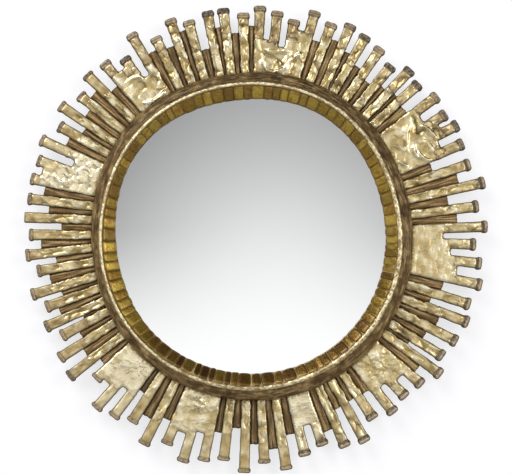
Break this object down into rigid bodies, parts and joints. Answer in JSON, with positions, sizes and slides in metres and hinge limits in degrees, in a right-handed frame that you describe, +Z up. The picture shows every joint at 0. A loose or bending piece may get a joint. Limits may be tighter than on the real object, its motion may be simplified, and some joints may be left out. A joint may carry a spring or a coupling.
{
  "type": "sunburst wall mirror",
  "caption": "Round wall mirror in a gilded sunburst frame: flat glass, sloping ring of amber mirror tiles, brown collar, crumpled gilt rays and panels, and a loose ring to hang it by.",
  "frame": {"origin": "centre of the wooden back's rear face, which lies on the wall, behind the centre of the glass", "axes": "+Z up, +X to the right seen from the front, +Y into the wall; the glass faces -Y"},
  "size_m": [0.6192, 0.0449, 0.6254],
  "materials": {
    "gilded_resin": "metal leaf on crumpled cast resin, satin with bright creases",
    "pale_gilt": "pale metal leaf on a crumpled resin strip",
    "brown_resin": "bare brown resin, streaked and matt",
    "amber_mirror": "amber back-silvered glass tiles",
    "mirror_glass": "flat silvered glass",
    "felt": "dark wool felt",
    "plywood": "birch plywood, oiled",
    "zinc_steel": "zinc-plated steel"
  },
  "bodies": {
    "mirror": {"back_board": "plywood", "collar": "brown_resin", "gilt_bead": "pale_gilt", "gilt_panel_1": "gilded_resin", "gilt_panel_2": "gilded_resin", "gilt_panel_3": "gilded_resin", "gilt_panel_4": "gilded_resin", "gilt_panel_5": "gilded_resin", "gilt_panel_6": "gilded_resin", "gilt_panel_7": "gilded_resin", "gilt_panel_8": "gilded_resin", "gilt_panel_9": "gilded_resin", "glass_bed": "felt", "hanger_strap": "zinc_steel", "mirror_glass": "mirror_glass", "mosaic_ring": "amber_mirror", "ray_05": "gilded_resin", "ray_08": "gilded_resin", "ray_09": "gilded_resin", "ray_16": "gilded_resin", "ray_17": "gilded_resin", "ray_18": "gilded_resin", "ray_23": "gilded_resin", "ray_24": "gilded_resin", "ray_25": "gilded_resin", "ray_31": "gilded_resin", "ray_32": "gilded_resin", "ray_33": "gilded_resin", "ray_36": "gilded_resin", "ray_37": "gilded_resin", "ray_38": "gilded_resin", "ray_39": "gilded_resin", "ray_43": "gilded_resin", "ray_44": "gilded_resin", "ray_48": "gilded_resin", "ray_49": "gilded_resin", "ray_52": "gilded_resin", "ray_53": "gilded_resin", "ray_54": "gilded_resin", "ray_55": "gilded_resin", "ray_56": "gilded_resin", "ray_57": "gilded_resin", "ray_58": "gilded_resin", "ray_62": "gilded_resin", "ray_63": "gilded_resin", "ray_64": "gilded_resin", "ray_65": "gilded_resin", "ray_69": "gilded_resin", "ray_70": "gilded_resin", "ray_71": "gilded_resin", "ray_74": "gilded_resin", "ray_pair_06": "gilded_resin", "ray_pair_10": "gilded_resin", "ray_pair_26": "gilded_resin", "ray_pair_50": "gilded_resin", "ray_pair_72": "gilded_resin", "ray_plate": "brown_resin", "strap_screw_1": "zinc_steel", "strap_screw_2": "zinc_steel"},
    "ring": {"hanger_ring": "zinc_steel"}
  },
  "joints": [
    {"name": "ring_swing", "type": "hinge", "parent": "mirror", "child": "ring", "pos_m": [0, -0.0035, 0.15], "axis": [1, 0, 0], "range_deg": [0, 180]}
  ]
}
